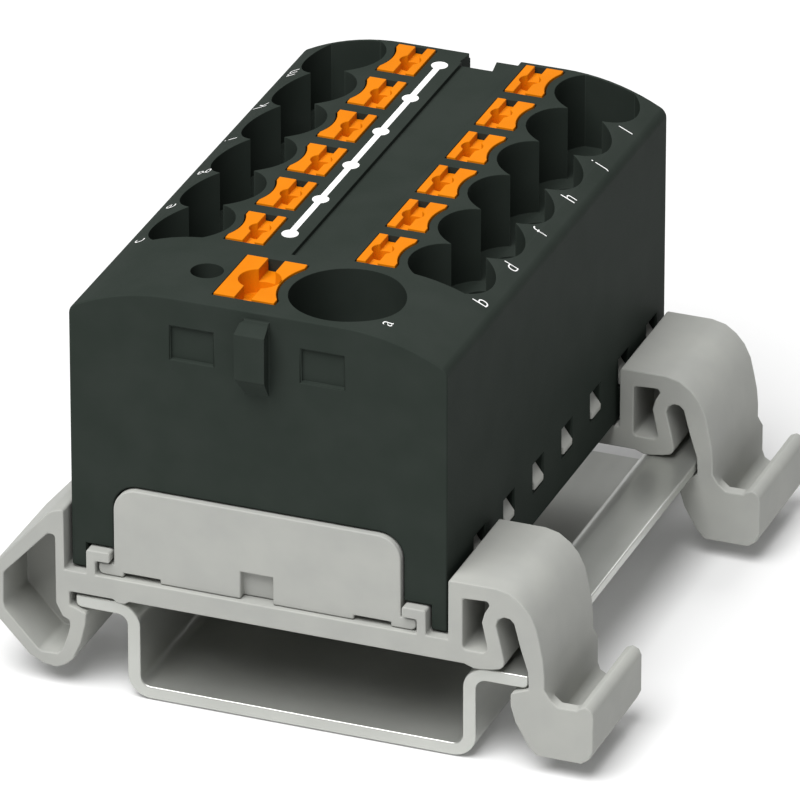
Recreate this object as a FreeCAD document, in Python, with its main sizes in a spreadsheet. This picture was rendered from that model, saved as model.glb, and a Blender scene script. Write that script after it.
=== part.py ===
import FreeCAD, Part
import math
import os
import re
import Sketcher

# A push-in power distribution block, snapped by two moulded feet onto a short length of top-hat rail.
# Frame: X across the rail, Y along it, Z up. The origin is the middle of the rail's flat underside.
# The block and its inner pieces are drawn about the block's own middle and then moved sideways onto the rail.

SIZES = {
    # top-hat rail
    "rail_width": 35.0,
    "rail_height": 7.5,
    "rail_sheet": 1.0,
    "rail_channel": 27.0,
    "rail_bend": 0.8,
    "rail_length": 46.6,
    "rail_tip_round": 0.45,
    # block housing
    "block_shift": -3.4,
    "block_width": 29.05,
    "block_length": 45.8,
    "block_height": 23.0,
    "crown_run": 8.0,
    "crown_drop": 2.1,
    "edge_round": 0.9,
    "wall": 1.2,
    "roof": 7.6,
    "seat_gap": 0.2,
    "fit_gap": 0.12,
    # small terminals, in two facing rows
    "pitch": 6.05,
    "row_start": -10.25,
    "entry_reach": 10.2,
    "entry_radius": 3.3,
    "entry_bulge": 3.0,
    "entry_chord": 2.6,
    "entry_depth": 6.0,
    "throat_radius": 1.7,
    "chamber_near": 2.6,
    "chamber_length": 4.4,
    # the one large terminal
    "main_y": -17.9,
    "main_reach": 5.0,
    "main_radius": 4.25,
    "main_depth": 4.6,
    "main_throat": 2.3,
    "main_chamber_near": -4.0,
    "main_chamber_far": 8.5,
    "main_chamber_length": 7.0,
    # push buttons
    "button_near": 3.6,
    "button_width": 2.95,
    "button_length": 4.6,
    "button_arc": 4.05,
    "button_head": 4.0,
    "button_proud": 0.1,
    "button_travel": 1.5,
    "stop_gap": 0.1,
    "pusher_near": 4.6,
    "pusher_width": 1.3,
    "pusher_length": 3.2,
    "barb_size": 0.3,
    "barb_height": 0.6,
    "driver_near": 4.3,
    "driver_slot": 0.9,
    "driver_depth": 0.55,
    "dimple_radius": 0.8,
    "dimple_depth": 0.9,
    "main_button_near": -4.0,
    "main_button_width": 4.65,
    "main_button_length": 6.6,
    "main_button_arc": 5.1,
    "main_driver_near": -2.37,
    "main_driver_slot": 1.26,
    "main_driver_depth": 1.0,
    "main_dimple_radius": 1.55,
    "main_pusher_near": -2.2,
    "main_pusher_width": 1.9,
    "main_pusher_length": 4.6,
    # clamp springs
    "spring_strip": 0.35,
    "spring_breadth": 3.4,
    "spring_near": 3.3,
    "spring_rise": 7.4,
    "spring_bend": 0.7,
    "spring_slope": 36.0,
    "spring_foot": 1.8,
    "press_gap": 0.12,
    "main_spring_breadth": 5.4,
    "main_spring_near": -3.5,
    "main_spring_slope": 31.0,
    # current bar
    "bar_sheet": 0.8,
    "bar_gap": 0.05,
    "bar_wall": 7.9,
    "wire_room": 1.15,
    "main_wire_room": 2.35,
    "bar_clear": 0.1,
    "bar_neck": 8.0,
    # base moulding
    "tab_thick": 0.9,
    "tab_half": 12.3,
    "tab_round": 0.45,
    "plate_half": 11.1,
    "plate_height": 7.2,
    "plate_thick": 1.2,
    "plate_proud": 0.35,
    "plate_round": 1.8,
    "slab_rise": 2.2,
    "slab_thick": 1.25,
    "snap_arm": 0.8,
    "snap_rise": 2.0,
    "snap_width": 1.86,
    "snap_proud": 0.1,
    "snap_low": 2.95,
    "snap_ridge": 3.45,
    "snap_high": 4.95,
    "snap_slope": 1.07,
    "latch_width": 2.5,
    "latch_height": 2.2,
    "latch_depth": 0.7,
    "relief_near": 7.5,
    "relief_width": 2.85,
    "relief_height": 0.35,
    # rail feet
    "foot_length": 10.2,
    "foot_first": -23.6,
    "foot_spacing": 35.75,
    "foot_bar": 1.7,
    "foot_lift": 0.3,
    "rest_gap": 0.05,
    "foot_side_gap": 0.35,
    "foot_wall": 0.7,
    "foot_top": 4.85,
    "foot_low": 1.35,
    "foot_web": 1.2,
    "grip_reach": 6.6,
    "grip_hold": 0.92,
    "lug_reach": 5.1,
    "lug_top": 5.6,
    "lug_lip": 1.3,
    "lip_top": 6.0,
    "lug_end": 1.0,
    "lug_floor": 3.2,
    "hook_near": 12.45,
    "hook_stem": 0.7,
    "hook_tip": 11.3,
    "hook_arm": 0.85,
    "hook_clear": 0.2,
    # coupling key and slot, recesses, marker groove and test hole
    "key_width": 2.35,
    "key_root": 1.8,
    "key_throw": 1.55,
    "key_top": 0.3,
    "key_height": 6.6,
    "key_chamfer": 0.9,
    "key_taper": 1.8,
    "key_fit": 0.12,
    "panel_near": 3.4,
    "panel_width": 3.25,
    "panel_height": 2.6,
    "panel_top": 2.3,
    "panel_depth": 0.3,
    "marker_left": -1.12,
    "marker_width": 4.1,
    "marker_depth": 0.35,
    "marker_start": -13.3,
    "test_radius": 1.2,
    "test_reach": -5.8,
}

# worked out from the sizes above
DERIVED = {
    "left_tip": "-rail_width / 2",
    "right_tip": "rail_width / 2",
    "bar_under": "rail_height + foot_lift",
    "groove_floor": "bar_under + foot_bar",
    "foot_peak": "groove_floor + foot_top",
    "block_floor": "groove_floor + seat_gap",
    "block_top": "block_floor + block_height",
    "block_half": "block_width / 2",
    "block_reach": "block_length / 2",
    "inner_half": "block_half - wall",
    "inner_reach": "block_reach - wall",
    "left_wall": "block_shift - block_half - foot_side_gap",
    "right_wall": "block_shift + block_half + foot_side_gap",
    "crown_radius": "(crown_run ^ 2 + crown_drop ^ 2) / (2 * crown_drop)",
    "chamber_roof": "block_top - roof",
    "entry_floor": "block_top - entry_depth",
    "entry_cusp": "(entry_radius ^ 2 - (pitch / 2) ^ 2) ^ 0.5",
    "outer_radius": "((pitch / 2) ^ 2 + (entry_bulge - entry_cusp) ^ 2) / (2 * (entry_bulge - entry_cusp))",
    "button_top": "block_top + button_proud",
    "head_floor": "button_top - button_head",
    "well_floor": "head_floor - button_travel - stop_gap",
    "button_half": "button_length / 2",
    "button_far": "button_near + button_width",
    "main_button_half": "main_button_length / 2",
    "main_button_far": "main_button_near + main_button_width",
    "base_floor": "groove_floor + bar_gap",
    "tab_top": "base_floor + tab_thick",
    "base_reach": "block_reach + plate_proud",
    "plate_top": "base_floor + plate_height",
    "hook_under": "tab_top + hook_clear",
    "hook_top": "hook_under + hook_arm",
    "slab_floor": "base_floor + slab_rise",
    "slab_top": "slab_floor + slab_thick",
    "slab_half": "inner_half - fit_gap",
    "snap_top": "slab_top + snap_rise",
    "bar_floor": "slab_top + bar_gap",
    "bar_top": "bar_floor + bar_sheet",
    "bar_peak": "bar_floor + bar_wall",
    "bar_inner": "entry_reach + wire_room",
    "bar_outer": "bar_inner + bar_sheet",
    "main_bar_inner": "main_reach + main_wire_room",
    "chamber_far": "bar_outer + bar_clear",
    "rib_floor": "bar_top + bar_clear",
    "spring_floor": "bar_top + bar_gap",
    "spring_top": "spring_floor + spring_rise",
    "spring_far": "bar_inner - bar_clear",
    "main_spring_far": "main_bar_inner - bar_clear",
    "row_last": "row_start + 5 * pitch",
    "bar_start": "-inner_reach + fit_gap",
    "key_floor": "block_top - key_height",
}

ROW = 6

doc = FreeCAD.newDocument("distribution_block")
sheet = doc.addObject("Spreadsheet::Sheet", "Sizes")
for line, (alias, number) in enumerate(SIZES.items(), start=1):
    sheet.set(f"A{line}", alias)
    sheet.set(f"B{line}", str(number))
    sheet.setAlias(f"B{line}", alias)
doc.recompute()


def linked(text):
    """Turn a formula in plain size names into one that the document can evaluate."""
    def swap(match):
        word = match.group(0)
        if word in DERIVED:
            return f"({linked(DERIVED[word])})"
        if word in SIZES:
            return f"Sizes.{word}"
        return word
    return re.sub(r"[a-z_]+", swap, str(text))


def value(text):
    """The number that a formula gives with the sheet's present values."""
    result = sheet.evalExpression(linked(text))
    return float(getattr(result, "Value", result))


def bind(thing, **formulas):
    """Tie properties to formulas; a double underscore in a name stands for a dot."""
    for path, text in formulas.items():
        thing.setExpression(path.replace("__", "."), linked(text))


def tie(sketch, kind, point, formula):
    """Hold one coordinate of a sketch point at a formula."""
    number = sketch.addConstraint(Sketcher.Constraint(kind, -1, 1, *point, value(formula)))
    sketch.setExpression(f"Constraints[{number}]", linked(formula))


def outline(sketch, corners, arcs=None, flip=False):
    """A closed outline through corners of two formulas; a third entry names the tied coordinates.

    arcs maps an edge's number to its centre's two formulas and whether it turns left. flip mirrors X.
    """
    arcs = arcs or {}
    if flip:
        corners = [(f"-({c[0]})", *c[1:]) for c in corners]
        arcs = {i: (f"-({a[0]})", a[1], not a[2]) for i, a in arcs.items()}
    points = [FreeCAD.Vector(value(c[0]), value(c[1]), 0) for c in corners]
    count = len(corners)
    starts = []
    ends = []
    for i in range(count):
        here, there = points[i], points[(i + 1) % count]
        if i not in arcs:
            number = sketch.addGeometry(Part.LineSegment(here, there), False)
            starts.append((number, 1))
            ends.append((number, 2))
            continue
        centre = FreeCAD.Vector(value(arcs[i][0]), value(arcs[i][1]), 0)
        begin, finish = (here, there) if arcs[i][2] else (there, here)
        circle = Part.Circle(centre, FreeCAD.Vector(0, 0, 1), begin.distanceToPoint(centre))
        low = math.atan2(begin.y - centre.y, begin.x - centre.x)
        high = math.atan2(finish.y - centre.y, finish.x - centre.x)
        if high < low:
            high += 2 * math.pi
        number = sketch.addGeometry(Part.ArcOfCircle(circle, low, high), False)
        starts.append((number, 1 if arcs[i][2] else 2))
        ends.append((number, 2 if arcs[i][2] else 1))
    for i in range(count):
        sketch.addConstraint(Sketcher.Constraint("Coincident", *ends[i - 1], *starts[i]))
    for i, corner in enumerate(corners):
        tied = corner[2] if len(corner) > 2 else "xy"
        if "x" in tied:
            tie(sketch, "DistanceX", starts[i], corner[0])
        if "y" in tied:
            tie(sketch, "DistanceY", starts[i], corner[1])
    for i, arc in arcs.items():
        tie(sketch, "DistanceX", (starts[i][0], 3), arc[0])
        tie(sketch, "DistanceY", (starts[i][0], 3), arc[1])


def rectangle(sketch, left, right, low, high, flip=False):
    """A rectangle between two formulas each way."""
    outline(sketch, [(left, low), (right, low), (right, high), (left, high)], flip=flip)


def ring(sketch, x, y, radius):
    """A full circle."""
    circle = Part.Circle(FreeCAD.Vector(value(x), value(y), 0), FreeCAD.Vector(0, 0, 1), value(radius))
    number = sketch.addGeometry(circle, False)
    tie(sketch, "DistanceX", (number, 3), x)
    tie(sketch, "DistanceY", (number, 3), y)
    size = sketch.addConstraint(Sketcher.Constraint("Radius", number, value(radius)))
    sketch.setExpression(f"Constraints[{size}]", linked(radius))


def new_body(label, x="0", y="0", turn=0.0):
    """An empty body at a place across and along the rail, turned about the upright."""
    made = doc.addObject("PartDesign::Body", label)
    made.Label = label
    made.Placement = FreeCAD.Placement(FreeCAD.Vector(), FreeCAD.Rotation(FreeCAD.Vector(0, 0, 1), turn))
    bind(made, Placement__Base__x=x, Placement__Base__y=y)
    return made


def plane_of(owner, role):
    """One of a body's own planes or axes."""
    return next(p for p in owner.Origin.OriginFeatures if p.Role == role)


def section(owner, name, role, shift="0"):
    """A sketch on one of a body's own planes, moved along the plane's normal by a formula."""
    sketch = owner.newObject("Sketcher::SketchObject", name)
    sketch.AttachmentSupport = [(plane_of(owner, role), "")]
    sketch.MapMode = "FlatFace"
    bind(sketch, AttachmentOffset__Base__z=shift)
    sketch.Visibility = False
    return sketch


def pad(owner, name, sketch, length, both_ways=False, reverse=False):
    """Material along the sketch's normal."""
    made = owner.newObject("PartDesign::Pad", name)
    made.Profile = sketch
    made.Midplane = both_ways
    made.Reversed = reverse
    bind(made, Length=length)
    doc.recompute()
    return made


def pocket(owner, name, sketch, length):
    """A cut against the sketch's normal that must take material away."""
    before = owner.Shape.Volume
    made = owner.newObject("PartDesign::Pocket", name)
    made.Profile = sketch
    bind(made, Length=length)
    doc.recompute()
    if owner.Shape.Volume > before - 1e-4:
        raise ValueError(f"{name} takes nothing away")
    return made


def repeat(owner, name, features, count, step):
    """Features repeated along the rail's length."""
    made = owner.newObject("PartDesign::LinearPattern", name)
    made.Originals = features
    made.Direction = (plane_of(owner, "Y_Axis"), [""])
    made.Occurrences = count
    bind(made, Length=f"{count - 1} * ({step})")
    owner.Tip = made
    doc.recompute()
    return made


def rounded(owner, name, radius, direction, corners):
    """Straight edges along an axis rounded, where each corner gives its two other coordinates."""
    axis = "XYZ".index(direction)
    across = [i for i in range(3) if i != axis]
    spots = [(value(a), value(b)) for a, b in corners]
    names = []
    for number, edge in enumerate(owner.Tip.Shape.Edges, start=1):
        if not isinstance(edge.Curve, Part.Line) or abs(abs(edge.Curve.Direction[axis]) - 1) > 1e-6:
            continue
        middle = edge.CenterOfMass
        if any(math.hypot(middle[across[0]] - a, middle[across[1]] - b) < 0.01 for a, b in spots):
            names.append(f"Edge{number}")
    if not names:
        raise ValueError(f"{name} finds no corner")
    base = owner.Tip
    made = owner.newObject("PartDesign::Fillet", name)
    made.Base = (base, names)
    bind(made, Radius=radius)
    doc.recompute()
    return made


def build_rail():
    """The steel rail: one bent strip with a flange each side."""
    rail = new_body("mounting_rail")
    half = "rail_channel / 2"
    inner = "rail_channel / 2 - rail_sheet"
    under = "rail_height - rail_sheet"
    side = [("right_tip", under), ("right_tip", "rail_height"), (inner, "rail_height"), (inner, "rail_sheet")]
    corners = [(half, "0"), (half, under)] + side
    corners += [(f"-({x})", z) for x, z in reversed(corners)]
    sketch = section(rail, "rail_profile", "XZ_Plane")
    outline(sketch, corners)
    pad(rail, "rail_strip", sketch, "rail_length", both_ways=True)
    rounded(rail, "rail_inner_bends", "rail_bend", "Y",
            [(half, under), (f"-({half})", under), (inner, "rail_sheet"), (f"-({inner})", "rail_sheet")])
    rounded(rail, "rail_outer_bends", "rail_bend + rail_sheet", "Y",
            [(half, "0"), (f"-({half})", "0"), (inner, "rail_height"), (f"-({inner})", "rail_height")])
    rounded(rail, "rail_tips", "rail_tip_round", "Y", [("right_tip", under), ("left_tip", under)])
    return rail


def entry_row():
    """The outline of one row of overlapping wire funnels, with its arcs."""
    bow = "(entry_radius ^ 2 - entry_chord ^ 2) ^ 0.5"
    outer_centre = "(entry_reach + entry_bulge - outer_radius)"
    outer_bow = "(outer_radius ^ 2 - entry_chord ^ 2) ^ 0.5"
    corners = [(f"{outer_centre} + {outer_bow}", "row_start - entry_chord")]
    arcs = {}
    for i in range(ROW):
        arcs[len(corners) - 1] = (outer_centre, f"row_start + {i} * pitch", True)
        if i < ROW - 1:
            corners.append(("entry_reach + entry_cusp", f"row_start + ({i} + 0.5) * pitch", "y"))
    corners.append((f"{outer_centre} + {outer_bow}", "row_last + entry_chord", "y"))
    corners.append((f"entry_reach - {bow}", "row_last + entry_chord"))
    for i in reversed(range(ROW)):
        centre = ("entry_reach", f"row_start + {i} * pitch", True)
        arcs[len(corners) - 1] = centre
        if i > 0:
            corners.append(("entry_reach - entry_cusp", f"{centre[1]} - pitch / 2", "y"))
    corners.append((f"entry_reach - {bow}", "row_start - entry_chord", "y"))
    return corners, arcs


def button_outline(near, far, half, arc, reach, y, gap="0"):
    """A push button's outline, hollowed on the side of its wire entry, and grown by a gap."""
    side = f"({half} + {gap})"
    bend = f"(({arc} - {gap}) ^ 2 - ({reach} - {far} - {gap}) ^ 2) ^ 0.5"
    corners = [
        (f"{near} - {gap}", f"{y} - {side}"),
        (f"{far} + {gap}", f"{y} - {side}"),
        (f"{far} + {gap}", f"{y} - {bend}"),
        (f"{far} + {gap}", f"{y} + {bend}", "y"),
        (f"{far} + {gap}", f"{y} + {side}"),
        (f"{near} - {gap}", f"{y} + {side}"),
    ]
    return corners, {2: (reach, y, False)}


SMALL_BUTTON = ("button_near", "button_far", "button_half", "button_arc", "entry_reach")
MAIN_BUTTON = ("main_button_near", "main_button_far", "main_button_half", "main_button_arc", "main_reach")


def hollow_terminals(block):
    """The rooms of the twelve small terminals, cut for the first pair and repeated along the rows."""
    y = "row_start"
    throat = section(block, "throats", "XY_Plane", "entry_floor")
    ring(throat, "entry_reach", y, "throat_radius")
    ring(throat, "-entry_reach", y, "throat_radius")
    room = section(block, "chambers", "XY_Plane", "chamber_roof")
    well = section(block, "button_wells", "XY_Plane", "block_top")
    guide = section(block, "pusher_guides", "XY_Plane", "well_floor")
    for flip in (False, True):
        rectangle(room, "chamber_near", "chamber_far", f"{y} - chamber_length / 2", f"{y} + chamber_length / 2", flip)
        outline(well, *button_outline(*SMALL_BUTTON, y, "fit_gap"), flip)
        rectangle(guide, "pusher_near - fit_gap", "pusher_near + pusher_width + fit_gap",
                  f"{y} - pusher_length / 2 - fit_gap", f"{y} + pusher_length / 2 + fit_gap", flip)
    cuts = [
        pocket(block, "throat_cut", throat, "entry_floor - chamber_roof"),
        pocket(block, "chamber_cut", room, "chamber_roof - rib_floor"),
        pocket(block, "well_cut", well, "block_top - well_floor"),
        pocket(block, "guide_cut", guide, "well_floor - chamber_roof"),
    ]
    repeat(block, "terminal_rows", cuts, ROW, "pitch")


def hollow_main_terminal(block):
    """The rooms of the large terminal and the hole for a test probe."""
    entry = section(block, "main_entry", "XY_Plane", "block_top")
    ring(entry, "main_reach", "main_y", "main_radius")
    pocket(block, "main_entry_cut", entry, "main_depth")
    throat = section(block, "main_throat_ring", "XY_Plane", "block_top - main_depth")
    ring(throat, "main_reach", "main_y", "main_throat")
    pocket(block, "main_throat_cut", throat, "roof - main_depth")
    room = section(block, "main_chamber", "XY_Plane", "chamber_roof")
    rectangle(room, "main_chamber_near", "main_chamber_far",
              "main_y - main_chamber_length / 2", "main_y + main_chamber_length / 2")
    pocket(block, "main_chamber_cut", room, "chamber_roof - rib_floor")
    well = section(block, "main_well", "XY_Plane", "block_top")
    outline(well, *button_outline(*MAIN_BUTTON, "main_y", "fit_gap"))
    pocket(block, "main_well_cut", well, "block_top - well_floor")
    guide = section(block, "main_guide", "XY_Plane", "well_floor")
    rectangle(guide, "main_pusher_near - fit_gap", "main_pusher_near + main_pusher_width + fit_gap",
              "main_y - main_pusher_length / 2 - fit_gap", "main_y + main_pusher_length / 2 + fit_gap")
    pocket(block, "main_guide_cut", guide, "well_floor - chamber_roof")
    probe = section(block, "test_hole", "XY_Plane", "block_top")
    ring(probe, "test_reach", "main_y", "test_radius")
    pocket(block, "test_hole_cut", probe, "block_top - rib_floor")


def hollow_underside(block):
    """The open underside, the rooms for the current bar's walls, and the openings for the base."""
    floor = section(block, "floor_room", "XY_Plane", "rib_floor")
    rectangle(floor, "-inner_half", "inner_half", "-inner_reach", "inner_reach")
    pocket(block, "floor_cut", floor, "rib_floor - block_floor")
    arms = section(block, "snap_rooms", "XY_Plane", "snap_top + fit_gap")
    walls = section(block, "bar_rooms", "XY_Plane", "bar_peak + bar_clear")
    for flip in (False, True):
        rectangle(arms, "chamber_far", "inner_half", "-inner_reach", "inner_reach", flip)
        rectangle(walls, "bar_inner - bar_clear", "chamber_far", "row_start - pitch / 2", "inner_reach", flip)
    pocket(block, "snap_room_cut", arms, "snap_top + fit_gap - rib_floor")
    pocket(block, "bar_room_cut", walls, "bar_peak + bar_clear - rib_floor")
    side = "plate_half + fit_gap"
    turn = "plate_round + fit_gap"
    top = "plate_top + fit_gap"
    step = "hook_top + fit_gap"
    corners = [
        ("-inner_half", "block_floor"),
        ("inner_half", "block_floor"),
        ("inner_half", step),
        (side, step),
        (side, f"{top} - ({turn})"),
        (f"{side} - ({turn})", top, "x"),
        (f"-({side} - ({turn}))", top),
        (f"-({side})", f"{top} - ({turn})", "y"),
        (f"-({side})", step),
        ("-inner_half", step),
    ]
    arcs = {
        4: (f"{side} - ({turn})", f"{top} - ({turn})", True),
        6: (f"-({side} - ({turn}))", f"{top} - ({turn})", True),
    }
    for end, shift in (("front", "block_reach"), ("rear", "-inner_reach")):
        opening = section(block, f"{end}_opening", "XZ_Plane", shift)
        outline(opening, corners, arcs)
        pocket(block, f"{end}_opening_cut", opening, "wall")
    slot = section(block, "snap_window", "XZ_Plane", "-(row_start - pitch - snap_width / 2 - fit_gap)")
    for flip in (False, True):
        rectangle(slot, "inner_half - fit_gap", "block_half + edge_round",
                  "base_floor + snap_low - fit_gap", "base_floor + snap_high + fit_gap", flip)
    window = pocket(block, "snap_window_cut", slot, "snap_width + 2 * fit_gap")
    repeat(block, "snap_windows", [window], ROW + 1, "pitch")


def shape_outside(block):
    """The dovetail key and slot, the two recesses on the front, and the marker groove."""
    panels = section(block, "front_recesses", "XZ_Plane", "block_reach")
    for flip in (False, True):
        rectangle(panels, "panel_near", "panel_near + panel_width",
                  "block_top - panel_top - panel_height", "block_top - panel_top", flip)
    pocket(block, "front_recess_cut", panels, "panel_depth")
    marker = section(block, "marker_groove", "XY_Plane", "block_top")
    rectangle(marker, "marker_left", "marker_left + marker_width", "marker_start", "block_reach")
    pocket(block, "marker_groove_cut", marker, "marker_depth")
    female = section(block, "coupling_slot", "XY_Plane", "block_top")
    root = "key_root / 2 + key_fit"
    head = "key_width / 2 + key_fit"
    deep = "block_reach - key_throw - key_fit"
    outline(female, [(root, "block_reach"), (head, deep), (f"-({head})", deep), (f"-({root})", "block_reach")])
    pocket(block, "coupling_slot_cut", female, "key_height + key_fit")
    key = section(block, "coupling_key", "YZ_Plane")
    outline(key, [
        ("-block_reach", "key_floor"),
        ("-block_reach - key_throw", "key_floor + key_taper"),
        ("-block_reach - key_throw", "block_top - key_top - key_chamfer"),
        ("-block_reach - key_throw + key_chamfer / 2", "block_top - key_top"),
        ("-block_reach", "block_top - key_top"),
    ])
    pad(block, "coupling_key_pad", key, "key_width", both_ways=True)
    sides = section(block, "coupling_key_sides", "XY_Plane", "block_top")
    for flip in (False, True):
        outline(sides, [
            ("key_root / 2", "-block_reach"),
            ("key_width / 2", "-block_reach - key_throw"),
            ("key_width", "-block_reach - key_throw"),
            ("key_width", "-block_reach"),
        ], flip=flip)
    pocket(block, "coupling_key_sides_cut", sides, "key_height")


def build_housing():
    """The black block with its crowned top."""
    block = new_body("housing", "block_shift")
    profile = section(block, "block_profile", "XZ_Plane")
    flat = "block_half - crown_run"
    shoulder = "block_top - crown_drop"
    centre = "block_top - crown_radius"
    outline(profile, [
        ("-block_half", "block_floor"),
        ("block_half", "block_floor"),
        ("block_half", shoulder),
        (flat, "block_top", "x"),
        (f"-({flat})", "block_top"),
        ("-block_half", shoulder, "x"),
    ], {2: (flat, centre, True), 4: (f"-({flat})", centre, True)})
    pad(block, "block_solid", profile, "block_length", both_ways=True)
    rounded(block, "block_edges", "edge_round", "Y", [("block_half", shoulder), ("-block_half", shoulder)])
    funnels = section(block, "entry_funnels", "XY_Plane", "block_top")
    outline(funnels, *entry_row())
    outline(funnels, *entry_row(), True)
    pocket(block, "entry_funnel_cut", funnels, "entry_depth")
    hollow_terminals(block)
    hollow_main_terminal(block)
    hollow_underside(block)
    shape_outside(block)
    return block


def build_base():
    """The grey base: a slab with end plates, rail-foot tabs and snap arms in two rows."""
    base = new_body("base", "block_shift")
    slab = section(base, "slab", "XY_Plane", "slab_floor")
    rectangle(slab, "-slab_half", "slab_half", "-inner_reach + fit_gap", "inner_reach - fit_gap")
    pad(base, "slab_pad", slab, "slab_thick")
    neck = section(base, "neck", "XY_Plane", "base_floor")
    rectangle(neck, "-plate_half", "plate_half", "-base_reach", "base_reach")
    pad(base, "neck_pad", neck, "slab_rise")
    tabs = section(base, "tabs", "XY_Plane", "base_floor")
    rectangle(tabs, "-tab_half", "tab_half", "-base_reach", "base_reach")
    pad(base, "tab_pad", tabs, "tab_thick")
    rounded(base, "tab_rounds", "tab_round", "Y", [("tab_half", "base_floor"), ("-tab_half", "base_floor")])
    turn = "plate_top - plate_round"
    corners = [
        ("-plate_half", "base_floor"),
        ("plate_half", "base_floor"),
        ("plate_half", turn),
        ("plate_half - plate_round", "plate_top", "x"),
        ("-(plate_half - plate_round)", "plate_top"),
        ("-plate_half", turn, "y"),
    ]
    arcs = {
        2: ("plate_half - plate_round", turn, True),
        4: ("-(plate_half - plate_round)", turn, True),
    }
    front = section(base, "front_plate", "XZ_Plane", "base_reach - plate_thick")
    outline(front, corners, arcs)
    pad(base, "front_plate_pad", front, "plate_thick")
    rear = section(base, "rear_plate", "XZ_Plane", "-base_reach")
    outline(rear, corners, arcs)
    pad(base, "rear_plate_pad", rear, "plate_thick")
    latch = section(base, "latch_notch", "XZ_Plane", "base_reach")
    rectangle(latch, "-latch_width / 2", "latch_width / 2", "base_floor", "base_floor + latch_height")
    pocket(base, "latch_notch_cut", latch, "latch_depth")
    reliefs = section(base, "reliefs", "XZ_Plane", "base_reach")
    for flip in (False, True):
        rectangle(reliefs, "relief_near", "relief_near + relief_width",
                  "base_floor", "base_floor + relief_height", flip)
    pocket(base, "relief_cut", reliefs, "2 * base_reach")
    arm = section(base, "snap_arms", "XZ_Plane", "-(row_start - pitch + snap_width / 2)")
    ridge = "block_half + snap_proud"
    low = "base_floor + snap_low"
    for flip in (False, True):
        outline(arm, [
            ("slab_half - snap_arm", low),
            (ridge, low),
            (ridge, "base_floor + snap_ridge"),
            (f"{ridge} - snap_slope", "base_floor + snap_high"),
            ("slab_half", "base_floor + snap_high"),
            ("slab_half", "snap_top"),
            ("slab_half - snap_arm", "snap_top"),
        ], flip=flip)
    arms = pad(base, "snap_arm_pad", arm, "snap_width")
    repeat(base, "snap_arm_rows", [arms], ROW + 1, "pitch")
    return base


def build_bar():
    """The tinned copper current bar: a trough with a wall along each row and a tongue for the large terminal."""
    bar = new_body("current_bar", "block_shift")
    step = "row_start - pitch / 2 + bar_clear"
    end = "inner_reach - bar_clear"
    floor = section(bar, "bar_plate", "XY_Plane", "bar_floor")
    outline(floor, [
        ("-bar_neck", "bar_start"), ("main_bar_inner + bar_sheet", "bar_start"),
        ("main_bar_inner + bar_sheet", step), ("bar_outer", step), ("bar_outer", end),
        ("-bar_outer", end), ("-bar_outer", step), ("-bar_neck", step),
    ])
    pad(bar, "bar_plate_pad", floor, "bar_sheet")
    walls = section(bar, "bar_walls", "XY_Plane", "bar_floor")
    for flip in (False, True):
        rectangle(walls, "bar_inner", "bar_outer", step, end, flip)
    rectangle(walls, "main_bar_inner", "main_bar_inner + bar_sheet",
              "main_y - main_chamber_length / 2 + fit_gap", "main_y + main_chamber_length / 2 - fit_gap")
    pad(bar, "bar_wall_pad", walls, "bar_wall")
    return bar


def build_spring(label, y, turn, near, far, slope, breadth):
    """A clamp spring: one bent strip with a foot on the bar and a leg that slopes to the contact wall."""
    spring = new_body(label, "block_shift", y, turn)
    steep = f"tan({slope} * 1deg)"
    drop = f"({far} - ({near})) * {steep}"
    inner = f"{near} + spring_strip"
    lower = f"spring_top - spring_strip * {steep} - spring_strip / cos({slope} * 1deg)"
    profile = section(spring, f"{label}_strip", "XZ_Plane")
    outline(profile, [
        (near, "spring_floor"),
        (f"{near} + spring_foot", "spring_floor"),
        (f"{near} + spring_foot", "spring_floor + spring_strip"),
        (inner, "spring_floor + spring_strip"),
        (inner, lower),
        (f"{far} - spring_strip * sin({slope} * 1deg)", f"spring_top - {drop} - spring_strip * cos({slope} * 1deg)"),
        (far, f"spring_top - {drop}"),
        (near, "spring_top"),
    ])
    pad(spring, f"{label}_pad", profile, breadth, both_ways=True)
    rounded(spring, f"{label}_outer_bends", "spring_bend", "Y", [(near, "spring_top"), (near, "spring_floor")])
    rounded(spring, f"{label}_inner_bends", "spring_bend - spring_strip", "Y",
            [(inner, lower), (inner, "spring_floor + spring_strip")])
    return spring


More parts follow.
